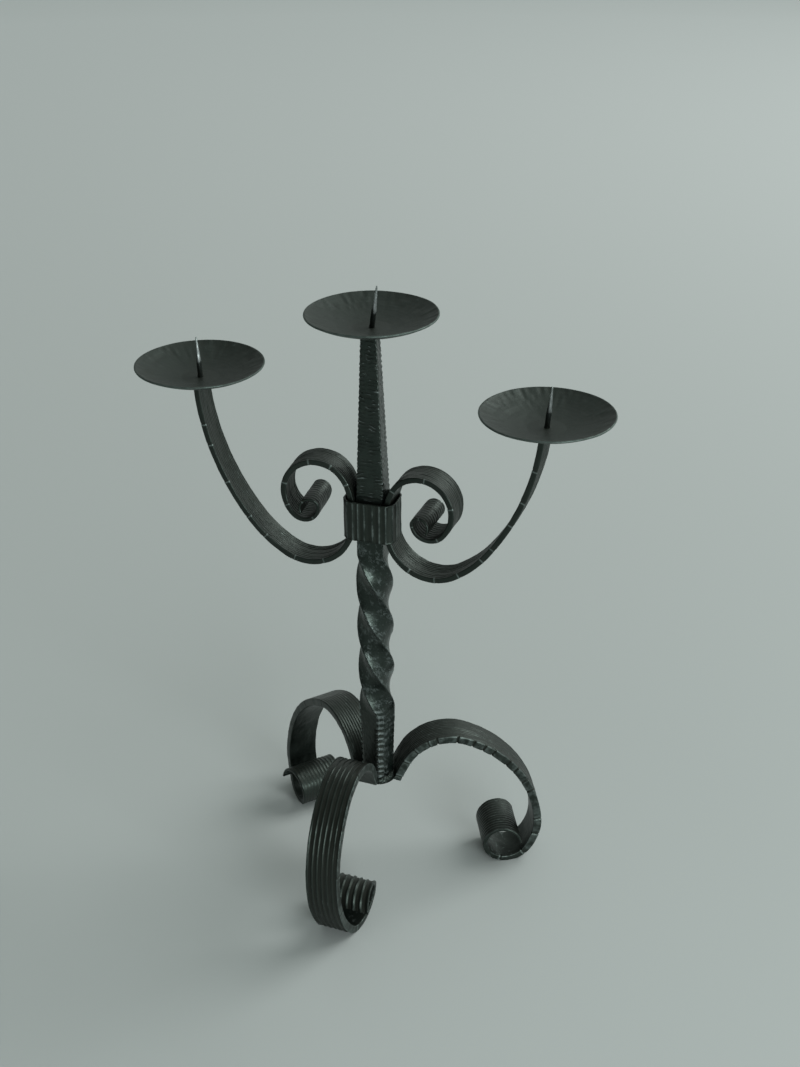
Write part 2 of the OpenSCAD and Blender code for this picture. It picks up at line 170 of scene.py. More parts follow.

# %% [markdown]
# ## From grid to mesh
# Every piece is one or more grids of points: rows go along the piece and columns go round it. Each
# point also carries two marks. The wear mark says where hands and the hammer rub the wax off, which is on
# ridges and edges, and in places it also carries painted highlight. The grime mark says where dirt and old
# rust stay, and in places it also carries painted shade. The materials read both.

# %% Build meshes from grids
def tube_faces(rows, columns):
    """Quads of a grid whose columns close on themselves."""
    i, j = np.meshgrid(np.arange(rows - 1), np.arange(columns), indexing="ij")
    k = (j + 1) % columns
    quads = np.stack([i * columns + j, (i + 1) * columns + j, (i + 1) * columns + k, i * columns + k], -1)
    return quads.reshape(-1, 4).tolist()


def closed_tube(rows, columns):
    """Faces of a tube, and one flat face at each of its ends."""
    last = (rows - 1) * columns
    return tube_faces(rows, columns) + [list(range(columns)), [last + k for k in range(columns)][::-1]]


def inside_out(points, faces):
    """True when the faces point inwards: the signed volume under the small faces is below zero."""
    volume = 0.0
    for size in (3, 4):
        some = np.array([f for f in faces if len(f) == size], int).reshape(-1, size)
        for k in range(1, size - 1):
            a, b, c = points[some[:, 0]], points[some[:, k]], points[some[:, k + 1]]
            volume += float(np.einsum("ij,ij->", a, np.cross(b, c)))
    return volume < 0


def make_piece(name, parts, node):
    """One object from parts of (points, faces, worn, hollow), in the place of a node of the frame."""
    points, faces, wear_and_highlight, grime_and_shade, first = [], [], [], [], 0
    for part_points, part_faces, part_wear_and_highlight, part_grime_and_shade in parts:
        flat = part_points.reshape(-1, 3)
        turn = -1 if inside_out(flat - flat.mean(0), part_faces) else 1
        faces += [[first + v for v in f][::turn] for f in part_faces]
        points.append(flat)
        wear_and_highlight.append(np.broadcast_to(part_wear_and_highlight, part_points.shape[:-1]).ravel())
        grime_and_shade.append(np.broadcast_to(part_grime_and_shade, part_points.shape[:-1]).ravel())
        first += len(flat)
    mesh = bpy.data.meshes.new(name)
    mesh.from_pydata((np.concatenate(points) * MM).tolist(), [], faces)
    for mark, values in (("wear_and_highlight", wear_and_highlight), ("grime_and_shade", grime_and_shade)):
        layer = mesh.attributes.new(mark, "FLOAT", "POINT")
        layer.data.foreach_set("value", np.clip(np.concatenate(values), 0, 1).astype(np.float32))
    mesh.shade_smooth()
    mesh.update()
    piece = new_object(name, mesh)
    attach(piece, "root")
    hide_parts(node)
    print(name, len(mesh.vertices), "points", len(mesh.polygons), "faces")
    return piece


# %% [markdown]
# ## Bars bent along arcs
# A scroll is a chain of arcs: the smith bends the bar round one curve after another, so each arc starts
# in the direction in which the last one ended. Along an arc the heading falls steadily, and the point
# follows in closed form, so any number of stations can be asked for at once.

# %% A path of arcs
def path_of_arcs(start, heading, arcs, s):
    """Points and headings at lengths s, for arcs of (radius, turn in degrees), turning clockwise.

    On an arc with start heading a0, after a turn t: x = x0 + R (sin a0 - sin(a0 - t)) and
    z = z0 + R (cos(a0 - t) - cos a0).
    """
    radii, turns = np.array(arcs, float).T
    turns = np.radians(turns)
    ends = np.cumsum(radii * turns)
    begins = ends - radii * turns
    a0 = math.radians(heading) - np.concatenate([[0], np.cumsum(turns)[:-1]])
    a1 = a0 - turns
    x0 = start[0] + np.concatenate([[0], np.cumsum(radii * (np.sin(a0) - np.sin(a1)))[:-1]])
    z0 = start[1] + np.concatenate([[0], np.cumsum(radii * (np.cos(a1) - np.cos(a0)))[:-1]])
    k = np.clip(np.searchsorted(begins, s, "right") - 1, 0, len(radii) - 1)
    a = a0[k] - (s - begins[k]) / radii[k]
    x = x0[k] + radii[k] * (np.sin(a0[k]) - np.sin(a))
    z = z0[k] + radii[k] * (np.cos(a) - np.cos(a0[k]))
    return x, z, a


def path_length(arcs):
    return sum(radius * math.radians(turn) for radius, turn in arcs)


# %% [markdown]
# ## The section of a bar
# A flat bar has two faces and two edges with softened corners. Each point of the section is written as
# a place on an inner rectangle plus a corner radius times its outward direction. When the bar gets
# wider and thinner towards its end, only the rectangle changes.

# %% The section of a flat bar
FACE_POINTS = 81
EDGE_POINTS = 4
CORNER_POINTS = 2
CORNER_R = 0.8


def bar_section():
    """Columns of (place across, place through, outward across, outward through, which side)."""
    quarter = np.linspace(0, math.pi / 2, CORNER_POINTS + 2)[1:-1]
    face = np.linspace(1, -1, FACE_POINTS)
    edge = np.linspace(-1, 1, EDGE_POINTS)
    on_face, on_edge, on_corner = np.ones(FACE_POINTS), np.ones(EDGE_POINTS), np.ones(CORNER_POINTS)
    outer = [face, -on_face, 0 * face, -on_face, 0 * face]
    turn_in = [-on_corner, -on_corner, -np.sin(quarter), -np.cos(quarter), on_corner]
    side = [-on_edge, edge, -on_edge, 0 * edge, on_edge]
    turn_out = [-on_corner, on_corner, -np.cos(quarter), np.sin(quarter), on_corner]
    half = np.concatenate([outer, turn_in, side, turn_out], axis=1)
    other = half * np.array([-1, -1, -1, -1, 1])[:, None]
    other[4] += 2
    return np.concatenate([half, other], axis=1)


SECTION = bar_section()
print("a bar's section has", SECTION.shape[1], "points")

# %% [markdown]
# ## Ridges, hammer marks and chisel nicks
# The bars have lengthwise ridges. They were heated and hammered after rolling, which flattened some of
# the ridges and left the bar uneven. The edges were cut across with a chisel every finger's width or so:
# each cut has a raised lip, and the metal between two cuts bulges a little. All of this moves the surface
# by a millimetre or so, and the marks for the materials follow it. A bar's ribs are written as how many
# there are, how deep, how sharp, how much calmer one side is, and which side that is.

# %% Relief of a bar
NICK_HALF = 0.7
BEYOND_END = 8.0
CLOSEST_STATIONS = 0.12
STATION_STEP = 1.3
FACE_STEP = 0.31
LEG_LIP_SHINE, ARM_LIP_SHINE = 0.45, 1.3


def nick_places(length, pitch, seed):
    """Places of the nicks along one edge, unevenly spaced."""
    steps = pitch * (1 + 0.45 * np.random.default_rng(seed).uniform(-1, 1, int(length / pitch)))
    return np.cumsum(steps)


def nick_field(s, places):
    """For each station: how deep in a nick, how near its raised lip, how far up the bulge between nicks."""
    distance = s[:, None] - places[None, :]
    deep = np.exp(-(distance / NICK_HALF) ** 2).max(1)
    lip = np.exp(-((distance - 1.9 * NICK_HALF) / NICK_HALF) ** 2).max(1)
    ends = np.concatenate([[s[0] - BEYOND_END], places, [s[-1] + BEYOND_END]])
    k = np.clip(np.searchsorted(ends, s) - 1, 0, len(ends) - 2)
    share = (s - ends[k]) / (ends[k + 1] - ends[k])
    return deep, lip, 4 * share * (1 - share)


def bar_stations(start, length, step, places):
    """Even stations, with more of them close to each nick."""
    close = np.array([-1.6, -0.8, 0, 0.8, 1.6, 2.4, 3.4]) * NICK_HALF
    s = np.concatenate([np.arange(start, length, step), (places[:, None] + close).ravel(), [length]])
    s = np.unique(s[(s >= start) & (s <= length)])
    return s[np.concatenate([[True], np.diff(s) > CLOSEST_STATIONS])]


def ridges(across, s, count, more, depth, sharp, seed):
    """Narrow crests and wide valleys across a face: |cos(pi count x)| to a power, more where it flares."""
    wander = 0.05 * dents(s / 34 + 0 * across, across * 1.3 + 9, seed)
    wander = wander + 0.02 * dents(s / 6, across * 3 + 5, seed + 3)
    x = (across + 1) / 2 * count - (1 - across) / 2 * more + wander
    crest = np.abs(np.cos(math.pi * x)) ** sharp
    strength = 0.45 + 0.55 * smooth(-0.6, 0.2, dents(s / 25, x * 0.7 + 3, seed + 1) + more)
    strength = strength * (0.88 + 0.12 * dents(s / 2.6, x + 11, seed + 4))
    fine = dents(s / 60, across * count * 2.3 + 20, seed + 2)
    return depth * (crest * strength - 1 + 0.14 * fine), crest * strength


def bar_relief(s, width, ribs, nicks, cuts, rubbed_and_lit, seed, both_faces, flare, lip_shine, flat=0.0, lipped=0.6):
    """Outward displacement, and the worn and hollow marks, on the grid of stations by section columns.

    The ridges lose height on the calm side, most of all at the flare, and where the bar is flat. Where a
    nick is lipped it is shallower, and its raised lip shows more.
    """
    across, _, out_across, out_through, side = SECTION
    count, depth, sharp, calm, calm_side = ribs
    s2 = s[:, None]
    outer_face, inner_face = side == 0, side == 2
    calm = calm * (0.4 + 0.6 * flare[:, None]) * smooth(-0.6, 0.6, calm_side * across)[None, :]
    flat = np.clip(np.broadcast_to(flat, s.shape), 0, 1)[:, None]
    depth = depth * (1 - calm) * (1 - 0.75 * flat)
    ridge, crest = ridges(across[None, :], s2, count, 1.2 * flare[:, None], depth, sharp, seed)
    ridged = outer_face | (inner_face & both_faces)
    relief = np.where(ridged[None, :], ridge, 0.0)
    round_mm = (np.arange(SECTION.shape[1]) * FACE_STEP)[None, :]
    relief = relief + 0.12 * dents(s2 / 5.5, round_mm / 4.6, seed + 5)
    relief = relief + 0.04 * dents(s2 / 2.4, round_mm / 1.6, seed + 6)
    speckle = dents(s2 / 1.5, round_mm / 1.5, seed + 7)
    inside = 0.12 + flare[:, None] * (0.4 + 1.5 * speckle)
    edges = rubbed_and_lit * (1 - 0.6 * flare[:, None]) + 0.09 * speckle
    plain = np.where(inner_face, inside, edges)
    # On the crests the mark is partly rubbed metal and partly painted highlight, broken into short glints.
    glint = 0.85 + 0.5 * dents(s2 / 2.2, round_mm / 1.2, seed + 8)
    wear_and_highlight = np.where(ridged[None, :], crest ** 4 * glint * (1 - 0.8 * calm) * (1 - 0.7 * flat), plain)
    grime_and_shade = np.where(ridged[None, :], (1 - crest) ** 2, 0.15)
    rounded = (np.abs(out_across) > 0.1) & (np.abs(out_through) > 0.1)
    wear_and_highlight = wear_and_highlight + 0.15 * rounded[None, :]
    for which, places, cut in zip((1, 3), nicks, cuts):
        deep, lip, bulge = nick_field(s, places)
        sign = -1 if which == 1 else 1
        from_edge = (1 - sign * across) / 2 * width[:, None]
        beside = np.exp(-(from_edge / 0.9) ** 2) * (outer_face | inner_face)
        reach = np.where(side[None, :] == which, 1.0, beside)
        deep, lip = deep * (1 - 0.6 * lipped), lip * (0.1 + 0.9 * lipped)
        step = cut * (deep[:, None] - 0.2 * lip[:, None] - 0.05 * bulge[:, None] + 0.05)
        relief = relief - step * reach * (1 - 0.6 * flare[:, None])
        wear_and_highlight = wear_and_highlight + lip_shine * lip[:, None] * reach
        wear_and_highlight = wear_and_highlight * (1 - np.clip(1.3 * deep[:, None] * reach, 0, 1))
        grime_and_shade = grime_and_shade + 1.5 * deep[:, None] * reach
    return relief, wear_and_highlight, grime_and_shade


# %% [markdown]
# ## Sweeping the section along the path
# The path lies in a plane, and the bar's width stands square to that plane. A point of the bar is the
# path's point, moved through the bar's thickness to the right of the heading, and then sideways.

# %% Sweep a bar
def sweep_bar(x, z, a, width, thick, offset, plane, relief, origin):
    """Grid of points: path + thickness to the right of the heading (sin a, -cos a) + width along the side."""
    across, through, out_across, out_through, _ = SECTION
    radius = np.minimum(CORNER_R, 0.42 * thick)[:, None]
    half_w, half_t = width[:, None] / 2 - radius, thick[:, None] / 2 - radius
    sideways = offset[:, None] + across * half_w + out_across * (radius + relief)
    depth = thick[:, None] / 2 + through * half_t + out_through * (radius + relief)
    px = x[:, None] + depth * np.sin(a)[:, None]
    pz = z[:, None] - depth * np.cos(a)[:, None]
    along, rise, side = (np.array(v, float) for v in plane)
    return np.array(origin, float) + px[..., None] * along + pz[..., None] * rise + sideways[..., None] * side


def bar_faces(rows):
    """Quads along the bar, and at both ends quads across it and a small fan at each edge."""
    columns = SECTION.shape[1]
    half = columns // 2
    faces = tube_faces(rows, columns)
    for row in (0, rows - 1):
        first = row * columns
        facing = [columns - 1 - (half - FACE_POINTS) - k for k in range(FACE_POINTS)]
        cap = [[first + k, first + k + 1, first + facing[k + 1], first + facing[k]]
               for k in range(FACE_POINTS - 1)]
        right_edge = [first + k for k in range(FACE_POINTS - 1, half + 1)]
        left_edge = [first + k % columns for k in range(half + FACE_POINTS - 1, columns + 1)]
        cap += [right_edge, left_edge]
        faces += cap if row == 0 else [f[::-1] for f in cap]
    return faces


def direction(angle):
    """A level direction and the one square to it, for a piece that leaves the stem at an angle."""
    c, s = math.cos(math.radians(angle)), math.sin(math.radians(angle))
    return (c, s, 0), (-s, c, 0)


def flare_share(s, length, flare):
    """0 along most of a bar, rising evenly to 1 at its rolled end."""
    return np.clip((s - length + flare) / flare, 0, 1)


# %% [markdown]
# ## The three legs
# Each leg rises beside the stem, arches over, comes down in one long curve, stands on its heel and ends
# in a roll. Towards the roll the smith drew the bar out wide and thin. The front leg is the same bar
# bent a little tighter, because it leans less far out, and part of its ridges was hammered flat. Where a
# heel meets the floor it is filed flat.

# %% Legs
STEM_W = 19.5
LEG_W, LEG_T = 25.0, 6.3
LEG_END_W, LEG_END_T, LEG_FLARE = 43.0, 1.8, 112.0
HEEL_FLAT, HEEL_SPREAD = 0.9, 22
SHIN_FLAT_AT, SHIN_FLAT_SPREAD = 88, 36
ROOT_SLOPE = 67.0
ROOT_TRIM = 3.3
BOLD_RIBS, FINE_RIBS, CALM_RIBS = (6, 1.1, 8, 0.0, 1), (12, 0.28, 2.2, 0.0, 1), (11, 0.24, 2.4, 0.9, 1)
SIDE_ARCS = [(198, 6), (40, 84), (100, 62), (44, 41), (22, 140), (15.5, 178)]
FRONT_ARCS = [(198, 6), (40, 99.5), (80, 65), (78, 26), (22, 140), (15.5, 178)]
NICK_CUT = {"leg_right": (1.0, 0.2), "leg_front": (0.3, 0.35), "leg_back": (0.2, 0.2)}
EDGE_RUBBED = {"leg_right": 0.5, "leg_front": 0.45, "leg_back": 0.1}
LEG_NICK_PITCH = 34.0
NEAR_NICKS = [6.8, 20.8, 33.8, 46.5, 54, 71.3, 85.3, 95.5, 104.8, 121.5, 131.3, 145.1, 156.8, 187.3, 203.6,
              225, 248]
# arcs, direction, sideways offset at the root, how much is added by the end, ribs, seed
LEGS = {
    "leg_right": (SIDE_ARCS, 24.0, 3.5, 0.0, FINE_RIBS, 11),
    "leg_front": (FRONT_ARCS, -92.5, -7.5, 9.0, BOLD_RIBS, 12),
    "leg_back": (SIDE_ARCS, 137.5, 0.5, 9.5, CALM_RIBS, 13),
}


def make_leg(name, arcs, angle, offset, drift, ribs, seed):
    length = path_length(arcs)
    nicks = [nick_places(length, LEG_NICK_PITCH, seed * 10 + k) for k in (0, 1)]
    if name == "leg_right":
        nicks[0] = np.array(NEAR_NICKS)
    s = bar_stations(ROOT_TRIM, length, STATION_STEP, np.concatenate(nicks))
    x, z, a = path_of_arcs((STEM_W / 2, 0), ROOT_SLOPE, arcs, s)
    heel = s[z.argmin()]
    z = z - z.min() - HEEL_FLAT
    u = flare_share(s, length, LEG_FLARE)
    width = LEG_W + (LEG_END_W - LEG_W) * u
    thick = LEG_T + (LEG_END_T - LEG_T) * u
    flat = np.exp(-((s - heel) / HEEL_SPREAD) ** 2)
    if name == "leg_front":
        flat = flat + np.exp(-((s - SHIN_FLAT_AT) / SHIN_FLAT_SPREAD) ** 2)
    lipped = 1 - smooth(46, 52, s) + smooth(170, 185, s) if name == "leg_right" else 0.6
    relief, wear_and_highlight, grime_and_shade = bar_relief(s, width, ribs, nicks, NICK_CUT[name], EDGE_RUBBED[name], seed, False,
                                      u, LEG_LIP_SHINE, flat, lipped)
    along, side = direction(angle)
    grid = sweep_bar(x, z, a, width, thick, offset + drift * s / length, (along, (0, 0, 1), side),
                     relief, (*stem_xy, 0))
    grid[..., 2] = np.maximum(grid[..., 2], 0)
    return make_piece(name + "_forged", [(grid, bar_faces(len(s)), wear_and_highlight, grime_and_shade)], name)


legs = [make_leg(name, *facts) for name, facts in LEGS.items()]

# %% [markdown]
# ## The two arms
# An arm stands almost upright under its plate, where its end is cut level. It swings down and round a
# belly to the waist that the collar grips, and goes on into a scroll with a tight roll. Both faces are
# ridged. The two arms are bent alike, but the left one has a longer neck, so its plate sits higher.

# %% Arms
FOOT_LEN, TWIST_LEN, STRAIGHT_LEN = 62.0, 136.0, 49.0
TWIST_Z = foot_z + FOOT_LEN
TAPER_Z = TWIST_Z + TWIST_LEN + STRAIGHT_LEN
STEM_LEAN = 1.2
ARM_W, ARM_T = 21.5, 4.2
ARM_END_W, ARM_END_T, ARM_FLARE = 36.0, 1.5, 75.0
ARM_RIBS = (9, 0.46, 2.6, 0.8, -1)
ARM_SWEEP = 3.35
STRAIGHT_R = 1e6
ARM_FORWARD, ARM_END_FORWARD = 0.6, 4.0
LOW_ARCS = [(190, 31), (90, 22), (34, 95), (44, 27)]
HIGH_ARCS = [(54, 25), (25.3, 198), (13.5, 136), (7.4, 215)]
NECKS = {"right": 1.5, "left": 8.0}
WAISTS = {"right": 5.0, "left": 8.0}
SEAT_GAP = 0.1
ARM_NICK_PITCHES, ARM_NICK_CUTS, ARM_RUBBED = (22.0, 45.0), (0.3, 0.2), 0.15


def lean_at(z):
    """How far the stem leans to the left at a height."""
    return STEM_LEAN * np.clip((z - TWIST_Z) / (top_z - TWIST_Z), 0, 1)


def straight(run):
    """A straight stretch, written as an arc of a very large circle."""
    return STRAIGHT_R, math.degrees(run / STRAIGHT_R)


def make_arm(side, seed):
    neck = NECKS[side]
    arcs = [straight(neck)] + LOW_ARCS + [straight(WAISTS[side])] + HIGH_ARCS
    heading = sum(turn for _, turn in LOW_ARCS) - 270
    length = path_length(arcs)
    waist = path_length(arcs[:6])
    nicks = [nick_places(length, pitch, seed * 10 + k) for k, pitch in enumerate(ARM_NICK_PITCHES)]
    s = bar_stations(0.0, length, STATION_STEP, np.concatenate(nicks))
    x, z, a = path_of_arcs((0, 0), heading, arcs, s)
    waist_x, waist_z, _ = path_of_arcs((0, 0), heading, arcs, np.array([waist]))
    z = z + seats[side][2]
    sweep = math.radians(ARM_SWEEP)
    back = STEM_W / 2 * (1 + math.sin(sweep)) / math.cos(sweep) + SEAT_GAP
    if side == "left":
        back = back + lean_at(waist_z + seats[side][2])
    x = x + back - waist_x
    u = flare_share(s, length, ARM_FLARE)
    width = ARM_W + (ARM_END_W - ARM_W) * u
    thick = ARM_T + (ARM_END_T - ARM_T) * u
    relief, wear_and_highlight, grime_and_shade = bar_relief(s, width, ARM_RIBS, nicks, ARM_NICK_CUTS, ARM_RUBBED, seed, True, u,
                                      ARM_LIP_SHINE)
    forward_by = ARM_FORWARD + ARM_END_FORWARD * np.clip((s - waist) / (length - waist), 0, 1)
    outward = 1 if side == "right" else -1
    along, across = direction(-ARM_SWEEP)
    along = (outward * along[0], along[1], 0)
    across = (outward * across[0], across[1], 0)
    grid = sweep_bar(x, z, a, width, thick, -forward_by, (along, (0, 0, 1), across), relief, (*stem_xy, 0))
    grid[..., 2] = np.where(s[:, None] < neck / 2, np.minimum(grid[..., 2], seats[side][2]), grid[..., 2])
    name = "arm_" + side
    return make_piece(name + "_forged", [(grid, bar_faces(len(s)), wear_and_highlight, grime_and_shade)], name)


arms = [make_arm("right", 21), make_arm("left", 22)]

# %% [markdown]
# ## The stem
# One square bar makes the stem. Its foot stays straight and is notched along the corners, the middle is
# twisted almost once round, and above the collar it is drawn down to a taper whose faces still show
# every hammer blow. The surface is a square whose side and turn depend on the height. The face on the
# right of the foot was hammered hardest, and it is also painted lighter where the light falls on it. The
# front face of the foot is painted darker as shade, and the notches carry painted highlight on their lower
# walls and painted shade inside.

# %% Stem
TWIST_TURN = 337.0
TAPER_TURN = 4.5
STEM_TOP_W = 11.0
STEM_CORNER = 0.8
STEM_FACE_POINTS = 29
STEM_CORNER_POINTS = 3
NOTCH_PITCH, NOTCH_DEPTH, NOTCH_SHARE = 5.1, 2.5, 0.55
FOOT_WORN = 1.5
NOTCH_BY_CORNER = np.array([1.0, 0.15, 0.5, 0.9])
HAMMERED_FACE, SHADED_FACE = 0, 3
STEM_STEP = 0.5
SERRATION_PITCH = 4.1
RIPPLE_PITCH_HAMMERED, RIPPLE_PITCH_OTHER = 3.7, 2.8
DENT_COLUMNS = 64


def square_section():
    """Columns round a square: place x, y on the inner square, outward x, y, face number, place on it."""
    face = np.linspace(-1, 1, STEM_FACE_POINTS)
    quarter = np.linspace(0, math.pi / 2, STEM_CORNER_POINTS + 2)[1:-1]
    columns = []
    for k in range(4):
        c, s = round(math.cos(k * math.pi / 2)), round(math.sin(k * math.pi / 2))
        x = np.concatenate([np.ones(STEM_FACE_POINTS), np.ones(STEM_CORNER_POINTS)])
        y = np.concatenate([face, np.ones(STEM_CORNER_POINTS)])
        nx = np.concatenate([np.ones(STEM_FACE_POINTS), np.cos(quarter)])
        ny = np.concatenate([0 * face, np.sin(quarter)])
        place = np.concatenate([face, np.ones(STEM_CORNER_POINTS)])
        columns.append([x * c - y * s, x * s + y * c, nx * c - ny * s, nx * s + ny * c, k + 0 * x, place])
    return np.concatenate(columns, axis=1)


def stem_relief(z, half, face, place):
    """Notches on the foot, faint dents on the twist, and ripples and notched corners on the taper."""
    z2 = z[:, None]
    round_64 = np.arange(place.size)[None, :] * DENT_COLUMNS / place.size
    to_corner = (1 - np.abs(place))[None, :] * half[:, None]
    on_foot = 1 - smooth(TWIST_Z - 4, TWIST_Z + 10, z2)
    on_taper = smooth(TAPER_Z - 12, TAPER_Z - 4, z2)
    on_twist = 1 - on_foot - on_taper
    hammered, shaded_front = (face == HAMMERED_FACE)[None, :], (face == SHADED_FACE)[None, :]
    corner = ((face + (place > 0)) % 4).astype(int)[None, :]
    shift = dents(corner * 3.7, z2 / 6, 40) * 0.9 + 0.35 * to_corner * hammered
    t = ((z2 - foot_z + shift) / NOTCH_PITCH + corner * 0.27) % 1
    valley = np.clip(np.minimum((t - 0.12) / NOTCH_SHARE, (1 - t) / (0.88 - NOTCH_SHARE)), 0, 1)
    reach = np.where(hammered, 6.5, 3.4)
    deep = valley * np.clip(1 - to_corner / reach, 0, 1) * NOTCH_BY_CORNER[corner]
    deep = deep * (1 - smooth(foot_z + 47, foot_z + 53, z2)) * smooth(foot_z + 1, foot_z + 5, z2)
    fine = dents(z2 / 1.1, round_64 * 2, 42, 128)
    rough = 0.8 * dents(z2 / 1.7, round_64 * 1.125, 41, 72) + 0.6 * fine
    rough = rough * np.where(hammered, 1.0, 0.45)
    slope = np.where(hammered, 2.6 * place[None, :], 0.3 * place[None, :])
    pitch = np.where(hammered, RIPPLE_PITCH_HAMMERED, RIPPLE_PITCH_OTHER)
    phase = z2 / pitch + slope / 2.2 + 0.42 * dents(z2 / 5, face[None, :] * 5.0 + 1.7 * place[None, :], 43)
    ripple = 1 - 2 * np.abs(np.sin(math.pi * phase)) ** np.where(hammered, 0.7, 1.0)
    patch = np.clip(0.5 + 0.9 * dents(z2 / 4, round_64 * 0.375, 46, 24), 0, 1.2)
    serration = np.clip(1 - np.abs((z2 / SERRATION_PITCH + corner * 0.3) % 1 - 0.5) * 3.2, 0, 1)
    serration = serration * np.clip(1 - to_corner / 1.5, 0, 1)
    relief = -NOTCH_DEPTH * deep + 0.22 * rough * on_foot + 0.09 * rough * on_taper
    cut_back = smooth(TWIST_Z, foot_z + 8, z2) * np.clip(1 - to_corner / 3.5, 0, 1) ** 1.5
    relief = relief - FOOT_WORN * cut_back * np.where(corner == 0, 0.2, 1)
    relief = relief + on_twist * (0.12 * dents(z2 / 5, round_64 * 0.375, 44, 24) + 0.05 * fine)
    relief = relief + on_taper * (np.where(hammered, 0.28, 0.22) * ripple * patch - 0.35 * serration)
    edge = np.clip(1 - to_corner / 1.0, 0, 1)
    # The lower wall of each notch is lighter: partly rubbed metal, partly painted highlight as if lit from
    # above.
    ledge = smooth(0.5, 0.1, valley)
    near = np.clip(1.3 - to_corner / np.where(hammered, 5.0, 2.0), 0, 1) * NOTCH_BY_CORNER[corner]
    # The hammered face on the right is lighter all over: partly hammer wear, partly painted light from the
    # right.
    hammer_wear_and_light = hammered * (0.42 + 0.25 * rough - 0.2 * place[None, :]) * (1 - valley * near)
    wear_and_highlight = 0.45 * edge * (1 - 0.5 * on_taper - 0.9 * on_twist) + on_foot * (1.1 * ledge * near + hammer_wear_and_light)
    wear_and_highlight = wear_and_highlight + on_taper * (0.62 * np.clip(0.3 + ripple, 0, 1.3) * patch)
    wear_and_highlight = wear_and_highlight + on_twist * (0.38 + 0.12 * dents(z2 / 7, round_64 * 0.25, 45, 16) + 0.18 * fine)
    # Inside the notches the grime mark is partly grime and partly painted shade.
    grime_and_shade = 1.8 * deep + 0.5 * on_taper * np.clip(-ripple, 0, 1) * patch + 0.4 * serration * on_taper
    # The front face of the foot is darkened all over with painted shade.
    grime_and_shade = grime_and_shade + 0.45 * shaded_front * on_foot
    return relief, wear_and_highlight, grime_and_shade


def make_stem():
    z = np.arange(foot_z, top_z + 0.2, STEM_STEP)
    z[-1] = top_z
    half = np.interp(z, [foot_z, TAPER_Z, top_z], [STEM_W, STEM_W, STEM_TOP_W]) / 2
    turn = np.radians(TWIST_TURN) * (1 - np.clip((z - TWIST_Z) / TWIST_LEN, 0, 1))
    turn = turn + math.radians(TAPER_TURN) * smooth(TAPER_Z - 8, TAPER_Z + 3, z)
    x, y, nx, ny, face, place = square_section()
    relief, wear_and_highlight, grime_and_shade = stem_relief(z, half, face, place)
    inner = half[:, None] - STEM_CORNER
    px = x * inner + nx * (STEM_CORNER + relief)
    py = y * inner + ny * (STEM_CORNER + relief)
    c, s = np.cos(turn)[:, None], np.sin(turn)[:, None]
    grid = np.stack([px * c - py * s + stem_xy[0] - lean_at(z)[:, None],
                     px * s + py * c + stem_xy[1], np.broadcast_to(z[:, None], px.shape)], -1)
    return make_piece("stem_forged", [(grid, closed_tube(len(z), x.size), wear_and_highlight, grime_and_shade)], "stem")


stem = make_stem()

# %% [markdown]
# ## The collar
# The collar is a short length of ridged strip, bent hot round the stem and both arms until its ends meet
# behind. It is swept like a bar, but along a level loop: a rectangle with round corners. Its ridges
# stand upright, so here they depend on the length along the loop.

# %% Collar
COLLAR_WALL = 1.8
COLLAR_CORNER = 9.0
COLLAR_PITCH = 5.0
COLLAR_STEP = 0.3


def make_collar():
    low, high = node_box("collar")
    half_x = (high[0] - low[0]) / 2
    depth = high[1] - low[1]
    middle = (low + high) / 2
    r = COLLAR_CORNER
    corner, back_run, side_run = (r, 90), straight(half_x - r), straight(depth - 2 * r)
    front_run = straight(2 * half_x - 2 * r)
    arcs = [back_run, corner, side_run, corner, front_run, corner, side_run, corner, back_run]
    length = path_length(arcs)
    s = np.unique(np.concatenate([np.arange(0, length, COLLAR_STEP), [length]]))
    x, y, a = path_of_arcs((0, high[1] - middle[1]), 0, arcs, s)
    height = np.full_like(s, high[2] - low[2])
    thick = np.full_like(s, COLLAR_WALL)
    across, side = SECTION[0], SECTION[4]
    s2 = s[:, None]
    phase = s2 / COLLAR_PITCH + 0.30 * dents(s2 / 9, 0 * s2, 50)
    narrow = np.abs(np.cos(math.pi * phase)) ** 7
    between = np.abs(np.sin(2 * math.pi * phase)) ** 4
    uneven = 0.72 + 0.28 * dents(s2 / 6, across * 1.6 + 4, 51)
    fine = dents(s2 / 0.9, across * 0.6 + 7, 53)
    outer = (side == 0)[None, :]
    crest = narrow * uneven
    relief = np.where(outer, 0.75 * (crest - 1) + 0.16 * between + 0.09 * fine, 0.0)
    relief = relief + 0.07 * dents(s2 / 4, across * 3 + 9, 52)
    wear_and_highlight = np.where(outer, 0.85 * crest + 0.15 * between, 0.3)
    grime_and_shade = np.where(outer, (1 - narrow) * 0.55, 0.3) * np.ones_like(relief)
    grid = sweep_bar(x, y, a, height, thick, 0 * s, ((1, 0, 0), (0, 1, 0), (0, 0, 1)), relief, middle)
    return make_piece("collar_forged", [(grid, bar_faces(len(s)), wear_and_highlight, grime_and_shade)], "collar")


collar = make_collar()

# %% [markdown]
# ## The plates
# A plate is spun from its profile: a flat middle that sits on the bar, a shallow bowl and a soft rim.
# The dish was hammered from the middle outwards, which left short strokes that point at the middle and
# are strongest near the rim. The rim itself waves by a fraction of a millimetre.

# %% Plates
PLATE_R, PLATE_DEPTH, PLATE_T, SEAT_R = 45.0, 11.0, 1.5, 13.0
PLATE_ROUND = 288
STROKES, BLOWS, WAVES = 96, 24, 9
RING_PITCH = 3.1


